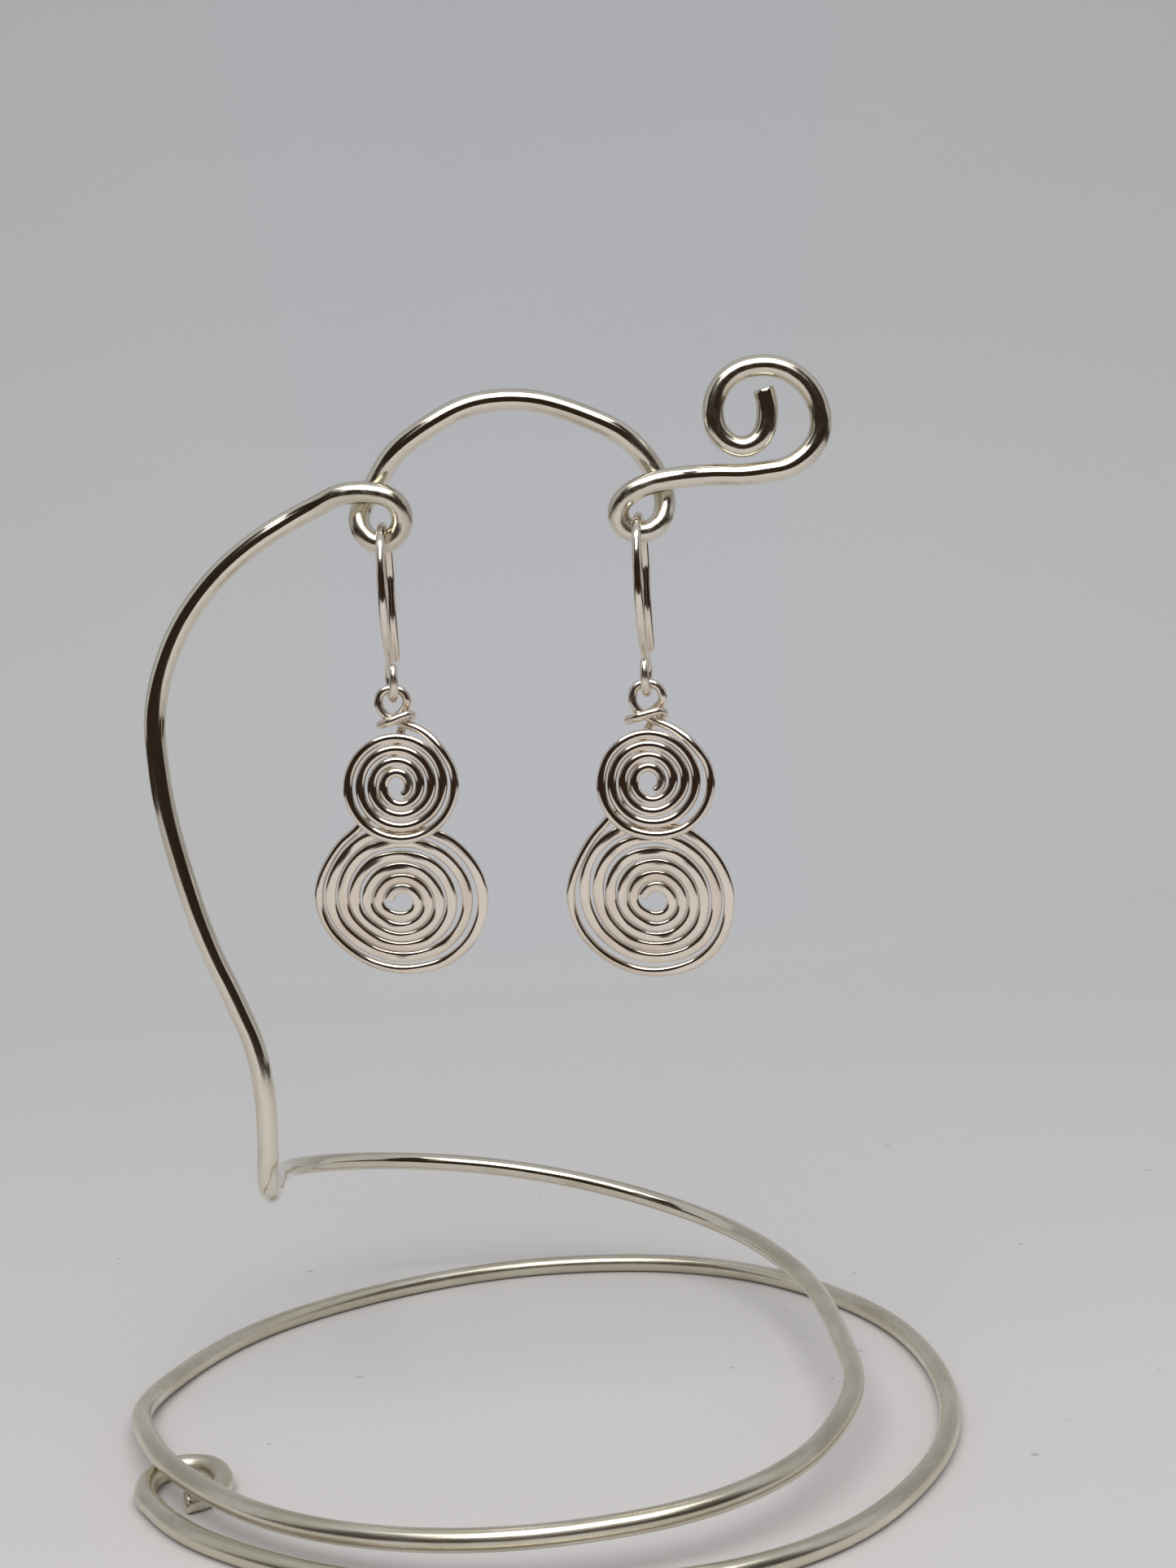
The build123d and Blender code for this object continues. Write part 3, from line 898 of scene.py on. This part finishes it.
RIGHT_DROP = dict(
    seed=32,
    large_centre=(0.01, -22.41),
    large_tip=(155, 1.47),
    large=(
        (1.53, 1.64, 1.55, 1.57, 1.54, 1.47, 1.60, 2.18),
        (2.75, 2.80, 2.65, 2.63, 2.66, 2.57, 2.66, 3.32),
        (3.96, 4.03, 3.81, 3.77, 3.80, 3.64, 3.79, 4.50),
        (5.30, 5.26, 4.99, 4.86, 4.97, 4.66, 4.90, 5.72),
        (6.75, 6.70, 6.26, 6.13, 6.17, 5.85, 6.08, 7.09),
        (8.20, 8.07, 7.53, 7.41, 7.60, 7.34, 7.62, 8.63),
    ),
    large_end=(9.24,),
    small_centre=(-0.24, -9.86),
    small_tip=(-62, 1.10),
    small=(
        (1.16, 1.26, 1.34, 1.46, 1.48, 1.49, 1.65, 1.92),
        (2.18, 2.43, 2.51, 2.59, 2.60, 2.64, 2.80, 3.05),
        (3.30, 3.61, 3.60, 3.69, 3.74, 3.76, 3.95, 4.22),
        (4.55, 4.73, 4.66, 4.79, 4.81, 4.83, 5.13, 5.43),
    ),
    small_end=(6.06, 6.17, 5.75),
    neck=(
        (-4.64, 0.20, -13.76), (-2.85, 0.33, -11.96), (-1.68, 0.48, -9.25),
        (-0.88, 0.64, -6.85), (-0.25, 0.85, -5.10),
    ),
    wrap=(
        (0.28, 1.12, -4.30), (1.10, 0.90, -3.72), (1.61, 0.0, -3.20),
        (1.18, -0.80, -2.87), (-0.22, -1.06, -3.09), (-1.38, -0.85, -3.40),
        (-2.00, 0.0, -3.68), (-1.44, 0.85, -3.64), (-0.20, 0.98, -3.24),
        (0.96, 0.60, -2.52),
    ),
    loop=(
        (1.55, 0.10, -1.64), (1.20, 0.0, -0.52), (0.03, 0.0, 0.0), (-1.12, 0.0, -0.38),
        (-1.50, 0.0, -1.32), (-1.28, 0.0, -2.32), (-0.52, 0.0, -3.17),
        (0.50, -0.05, -3.75), (1.50, -0.35, -4.22), (2.64, -0.70, -4.84),
    ),
)
DROPS = {Side.LEFT: LEFT_DROP, Side.RIGHT: RIGHT_DROP}


@dataclass(kw_only=True)
class SpiralDrop(Wire):
    """A drop of one wire: large spiral, neck, wrap, top loop and small spiral.

    Args:
        ear_wire: The ear wire that it hangs in.
        side: Which one of the pair.
    """

    ear_wire: EarWire
    side: Side
    slot: str = "ear_wire"
    finish: Silver = EAR_SILVER
    diameter: float = EAR_WIRE
    spacing: float = 0.14
    sides: int = 40
    marks: tuple[Worked, ...] = (
        Worked(0.0, 0.009, 0.8, 6),  # cut tip
        Worked(0.617, 0.70, 0.8, 46),  # wrap and loop
        Worked(0.992, 1.0, 0.8, 6),  # cut tip
    )

    # Lays behind the drop's middle, degrees of its lean back towards the foot,
    # direction of each row's first radius and the way it winds
    SPIRALS = {
        "large": dict(layer=0.10, lean=5.0, first=135, turning=-1),
        "small": dict(layer=-1.15, lean=0.0, first=-45, turning=1),
    }
    DIRECTIONS = 8
    LARGE_UNTIL = 0.6  # share of the wire; the large spiral ends before it
    HAMMERED = (  # share of the wire and strength of the hammering there
        (0.0, 1.0), (0.50, 1.0), (0.535, 0.0), (0.715, 0.0), (0.75, 0.35), (1.0, 0.35),
    )
    WIDEST = 1.26  # most width, in diameters
    FILLED = 0.985  # share of the room to the next turn that it may take
    THINNED = 0.22  # thickness lost, in diameters
    SQUARED = 2.6  # power added to a circle's 2
    UNEVEN = 0.35  # share of the hammering that comes and goes
    SWAY = 0.11  # turn of the flats, in radians
    WAVES, WAVE_COUNT = (18.0, 75.0), 7  # of both, along the whole wire
    SAME_TURN = 3.0  # mm along the wire that are the same turn
    OPEN_ROOM = 9.0  # mm, more than any room that counts
    ROOM_REACH = 1.2  # mm each way over which room is averaged
    DRIFT_SEED = 100  # added to the seed

    @classmethod
    def below(cls, ear_wire: EarWire) -> "SpiralDrop":
        """The drop that hangs in an ear wire's eye, not yet built."""
        side = ear_wire.side
        node, body = f"{side.value}_spiral_drop", f"{side.value}_drop"
        return cls(node=node, body=body, seed=DROPS[side]["seed"], ear_wire=ear_wire, side=side)

    def spiral(self, name: str) -> Array:
        """Points of a flat spiral, in lays from the tip outwards.

        Args:
            name: Its row in SPIRALS, and the start of its names in DROPS.

        Returns:
            One row for each point.
        """
        shape, way = DROPS[self.side], self.SPIRALS[name]
        tip, radius = shape[f"{name}_tip"]
        radius = np.concatenate([[radius], np.ravel(shape[name]), shape[f"{name}_end"]])
        step = way["turning"] * 360 / self.DIRECTIONS
        angle = np.concatenate([[tip], way["first"] + step * np.arange(len(radius) - 1)])
        centre_x, centre_z = shape[f"{name}_centre"]
        x = centre_x + radius * np.cos(np.radians(angle))
        z = centre_z + radius * np.sin(np.radians(angle))
        return np.stack([x, way["layer"] + np.tan(radians(way["lean"])) * (z.max() - z), z], axis=1)

    def room(self, line: Array) -> Array:
        """Distance from each point to the next turn of the wire, in millimetres."""
        square = dot(line, line)
        apart = np.sqrt(np.maximum(square + square.T - 2 * line @ line.T, 0.0))
        step = np.arange(len(line)) * self.spacing
        same = np.abs(step[:, None] - step[None, :]) < self.SAME_TURN
        return np.where(same, self.OPEN_ROOM, apart).min(axis=1)

    def section(self, frames: Frames, angle: Array) -> Array:
        """Outline of the wire: hammered flat in the spirals and round between them.

        With t the angle from the spiral's face, w the width and h the thickness,
        it is (|cos t / h|^p + |sin t / w|^p)^(-1/p), which passes into a circle
        where the hammering ends.

        Args:
            frames: Middle line of the wire and its directions.
            angle: Angle of each point on a ring.

        Returns:
            Array of rings by points.
        """
        line = frames.line
        share = np.linspace(0.0, 1.0, len(line))
        flat = np.interp(share, *np.array(self.HAMMERED).T)[:, None]
        random = np.random.default_rng(self.seed + self.DRIFT_SEED)
        waves = random.uniform(*self.WAVES, (2, self.WAVE_COUNT))
        starts = random.uniform(0.0, 2 * pi, (2, self.WAVE_COUNT))
        drift = np.sin(2 * pi * share[:, None, None] * waves + starts).mean(axis=2)
        flat = flat * (1 - self.UNEVEN * (0.5 + 0.5 * drift[:, :1]))
        reach = int(self.ROOM_REACH / self.spacing)
        room = self.room(line)
        span = np.ones(2 * reach + 1)
        evened = np.convolve(np.pad(room, reach, "edge"), span, "valid") / len(span)
        room = np.minimum(evened, room)[:, None]
        width = np.clip(self.FILLED * room / self.diameter, 1.0, self.WIDEST)
        width = 1 + (width - 1) * flat
        thick = 1 - self.THINNED * flat
        power = 2 + self.SQUARED * flat**2
        lean = np.tan(radians(self.SPIRALS["large"]["lean"])) * (share < self.LARGE_UNTIL)
        face = np.stack([np.zeros(len(line)), np.ones(len(line)), lean], axis=1)
        turn = angle[None, :] - np.arctan2(dot(frames.upward, face), dot(frames.across, face))
        turn = turn + self.SWAY * drift[:, 1:]
        body = np.abs(np.cos(turn) / thick) ** power + np.abs(np.sin(turn) / width) ** power
        return body ** (-1 / power)

    def points(self) -> Array:
        """Points that the wire bends through, in millimetres."""
        shape, large, small = DROPS[self.side], self.spiral("large"), self.spiral("small")
        route = np.concatenate([large, shape["neck"], shape["wrap"], shape["loop"], small[::-1]])
        return self.ear_wire.pivot() + (EAR_WIRE + TURN_GAP) * route


@dataclass(frozen=True)
class Paper:
    """Finish of the matt white sweep, with faint clouds, fibres and a little dust.

    Its tint changes slowly: painted shade and painted light that make up for the single lamp.

    Args:
        near: Tint at the floor's front, darker there as painted shade.
        far: Tint at its back.
        high: Tint of the backdrop's top, darker there as painted shade.
        cool: Bluish painted shade mixed in behind the stand.
        bright: White painted light mixed in where the sweep starts to bend.
        dust: Colour of the specks.
    """

    # The floor is painted darker at its front and the backdrop at its top: painted shade
    near: Triple = (0.615, 0.59, 0.58)
    far: Triple = (0.80, 0.79, 0.775)
    high: Triple = (0.762, 0.772, 0.777)
    # Bluish painted shade behind the stand
    cool: Triple = (0.72, 0.76, 0.85)
    # White painted light where the sweep starts to bend
    bright: Triple = (1.0, 1.0, 1.0)
    dust: Triple = (0.12, 0.11, 0.10)

    # In waves per metre
    CLOUDS = Pattern((7.0, 18.0, 18.0), 2.0, 0.5, (0.3, 0.7))
    GRAIN = Pattern((900.0, 900.0, 900.0), 4.0, 0.65)
    SPECKS = Pattern((420.0, 420.0, 420.0), 1.0, 0.4, (0.785, 0.80))
    # Ends of each change: metres along Y, up Z or out from the middle
    FAR_ENDS = (-0.10, 0.32)
    HIGH_ENDS = (-0.05, 0.30)
    # Bluish painted shade: where it lies along Y and out from the middle
    COOL_ENDS, COOL_SIDE_ENDS = (0.20, 0.32), (0.02, 0.13)
    # Painted light band: where it rises and falls along Y
    BRIGHT_RISE, BRIGHT_FALL = (0.20, 0.29), (0.29, 0.38)
    DUST_FALL = (0.06, 0.14)
    # How strong each is
    COOL_SHARE, BRIGHT_SHARE, DUST_SHARE, CLOUD_SHARE = 0.3, 0.16, 0.3, 0.01
    GRAIN_DEPTH = 0.00006
    ROUGHNESS, SHINE = 0.7, 0.05

    def material(self) -> bpy.types.Material:
        """Build the finish.

        Returns:
            The material.
        """
        made = bpy.data.materials.new("white_card")
        graph = Graph(made)
        place = graph.add("ShaderNodeTexCoord").outputs["Object"]
        x, y, z = graph.add("ShaderNodeSeparateXYZ", {0: place}).outputs

        def falling(value: Socket, ends: Pair, full: float) -> Socket:
            """Fall from full to 0 between two ends."""
            return graph.math("MULTIPLY_ADD", graph.ramp(value, ends), -full, full)

        # Bluish painted shade behind the stand, on the bend and backdrop, fading out to the sides
        cool = falling(graph.math("ABSOLUTE", x), self.COOL_SIDE_ENDS, self.COOL_SHARE)
        cool = graph.math("MULTIPLY", graph.ramp(y, self.COOL_ENDS), cool)
        # Painted light: a pale band where the floor starts to bend up
        bright = falling(y, self.BRIGHT_FALL, self.BRIGHT_SHARE)
        bright = graph.math("MULTIPLY", graph.ramp(y, self.BRIGHT_RISE), bright)
        specks = graph.ramp(graph.noise(place, self.SPECKS), self.SPECKS.ends)
        dust = graph.math("MULTIPLY", specks, falling(y, self.DUST_FALL, self.DUST_SHARE))
        clouds = graph.ramp(graph.noise(place, self.CLOUDS), self.CLOUDS.ends)
        # Painted shade: darker towards the floor's front and the backdrop's top
        tint = self.near
        for share, colour in (
            (graph.ramp(y, self.FAR_ENDS), self.far),
            (graph.ramp(z, self.HIGH_ENDS), self.high),
            (cool, self.cool),
            (bright, self.bright),
            (dust, self.dust),
            (graph.math("MULTIPLY", clouds, self.CLOUD_SHARE), (0.0, 0.0, 0.0)),
        ):
            tint = graph.mix_colour(share, tint, colour)
        graph.surface("ShaderNodeBsdfPrincipled", "ShaderNodeOutputMaterial", {
            "Base Color": tint,
            "Roughness": self.ROUGHNESS,
            "Specular IOR Level": self.SHINE,
            "Normal": graph.bump(graph.noise(place, self.GRAIN), self.GRAIN_DEPTH),
        })
        return made


@dataclass(frozen=True)
class LightBox:
    """White light box with an open front: sweep, lamp panel and dark room.

    Args:
        front: Y of the floor's front edge.
        back: Y of the backdrop.
        bend: Radius of the bend between them.
        top: Height of the backdrop.
        half_width: Half of the sweep's width.
        lamp_centre: Middle of the lamp panel, which shines down.
        lamp_size: Its width and depth.
        lamp_power: Its power in watts.
        surround: Light from all round.
        dark: Light of the dark room.
    """

    front: float = -2.2
    back: float = 0.46
    bend: float = 0.16
    top: float = 0.80
    half_width: float = 2.4
    lamp_centre: Triple = (0.0, -0.33, 0.42)
    lamp_size: Pair = (0.46, 0.46)
    lamp_power: float = 2.0
    surround: Triple = (0.49, 0.495, 0.51)
    dark: Triple = (0.026, 0.017, 0.012)

    SWEEP_STEPS = (12, 40, 20)  # points along the floor, the bend and the backdrop
    CARDS = (  # name, middle, width and height, and whether it stands
        ("dark_room", (-0.835, -0.216, 0.104), (2.33, 0.204), True),
        ("dark_side", (1.165, -0.216, 0.118), (1.67, 0.176), True),
        ("dark_left", (-0.3225, -0.216, 0.45), (0.355, 0.5), True),
        ("dark_right", (0.3225, -0.216, 0.45), (0.355, 0.5), True),
        ("dark_table_left", (-0.71, 0.0, 0.002), (0.8, 1.5), False),
        ("dark_table_right", (0.71, 0.0, 0.002), (0.8, 1.5), False),
    )

    def sweep(self) -> Piece:
        """Floor that curves up into the backdrop.

        The profile is flat, then a quarter circle, then upright.

        Returns:
            The sweep.
        """
        on_floor, on_bend, on_back = self.SWEEP_STEPS
        turn = np.linspace(0, pi / 2, on_bend)[1:]
        flat = np.linspace(self.front, self.back - self.bend, on_floor)
        rise = np.linspace(self.bend, self.top, on_back)[1:]
        bent = self.back - self.bend + self.bend * np.sin(turn)
        y = np.concatenate([flat, bent, np.full(len(rise), self.back)])
        z = np.concatenate([np.zeros(len(flat)), self.bend * (1 - np.cos(turn)), rise])
        x = np.linspace(-self.half_width, self.half_width, 3)
        grid = np.stack(np.broadcast_arrays(x[None, :], y[:, None], z[:, None]), axis=2)
        index = np.arange(grid[..., 0].size).reshape(grid.shape[:2])
        points, faces = grid.reshape(-1, 3), grid_faces(index)
        return put_mesh("paper_sweep", points, faces, Paper().material())

    def card(self, name: str, centre: Triple, size: Pair, upright: bool) -> Piece:
        """Dark card that only shows in reflections, standing or lying on the floor."""
        corners = np.array([(-0.5, -0.5, 0), (0.5, -0.5, 0), (0.5, 0.5, 0), (-0.5, 0.5, 0)])
        material = bpy.data.materials.new(name)
        glow = {"Color": self.dark}
        Graph(material).surface("ShaderNodeEmission", "ShaderNodeOutputMaterial", glow)
        piece = put_mesh(name, corners * (*size, 1), [(0, 1, 2, 3)], material)
        piece.location = centre
        piece.rotation_euler.x = pi / 2 if upright else 0.0
        piece.visible_camera = piece.visible_diffuse = piece.visible_shadow = False
        return piece

    def lamp(self) -> None:
        """Add the soft lamp panel."""
        light = bpy.data.lights.new("lamp_panel", "AREA")
        light.shape = "RECTANGLE"
        light.size, light.size_y = self.lamp_size
        light.energy = self.lamp_power
        put("lamp_panel", light).location = self.lamp_centre

    def build(self) -> None:
        """Set up the sweep, the lamp, the dark room and the pale surround."""
        self.sweep()
        self.lamp()
        for row in self.CARDS:
            self.card(*row)
        world = bpy.data.worlds.new("surround")
        bpy.context.scene.world = world
        glow = {"Color": self.surround}
        Graph(world).surface("ShaderNodeBackground", "ShaderNodeOutputWorld", glow)
        bpy.context.scene.view_settings.view_transform = "Standard"
        LOG.info("light box: sweep, lamp panel, %d dark cards", len(self.CARDS))


@dataclass(frozen=True)
class PhotoCamera:
    """Camera placed as the photograph's was.

    Args:
        eye: Where it stands, in metres.
        pitch: How far it looks down, in degrees.
        roll: How far it leans, in degrees.
        focal: Focal length in pixels of the photograph.
        height: The photograph's height in pixels.
    """

    eye: Triple = (0.0077319, -0.2100692, 0.0839984)
    pitch: float = 5.5
    roll: float = 2.8
    focal: float = 2600.0
    height: float = 1927.0

    SENSOR = 36.0
    CLIP = (0.01, 10.0)

    def build(self) -> Piece:
        """Make the camera and let the scene use it."""
        data = bpy.data.cameras.new("photo_camera")
        data.sensor_width = self.SENSOR
        data.lens = self.SENSOR * self.focal / self.height
        data.clip_start, data.clip_end = self.CLIP
        camera = put("photo_camera", data)
        pitch = Matrix.Rotation(pi / 2 - radians(self.pitch), 4, "X")
        roll = Matrix.Rotation(-radians(self.roll), 4, "Z")
        camera.matrix_world = Matrix.Translation(self.eye) @ pitch @ roll
        bpy.context.scene.camera = camera
        LOG.info("camera: %.1f mm lens on a %.0f mm sensor", data.lens, data.sensor_width)
        return camera


def main() -> None:
    """Build the five wires, the light box and the camera."""
    logging.basicConfig(level=logging.INFO, format="%(name)s: %(message)s")
    stand = DisplayStand()
    low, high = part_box(stand.node)
    shift = stand.shift_into(low, high)
    stand.build(shift)
    for side in Side:
        ear_wire = EarWire.on(stand, side)
        ear_wire.build(shift)
        SpiralDrop.below(ear_wire).build(shift)
    LightBox().build()
    PhotoCamera().build()


if __name__ == "__main__":
    main()
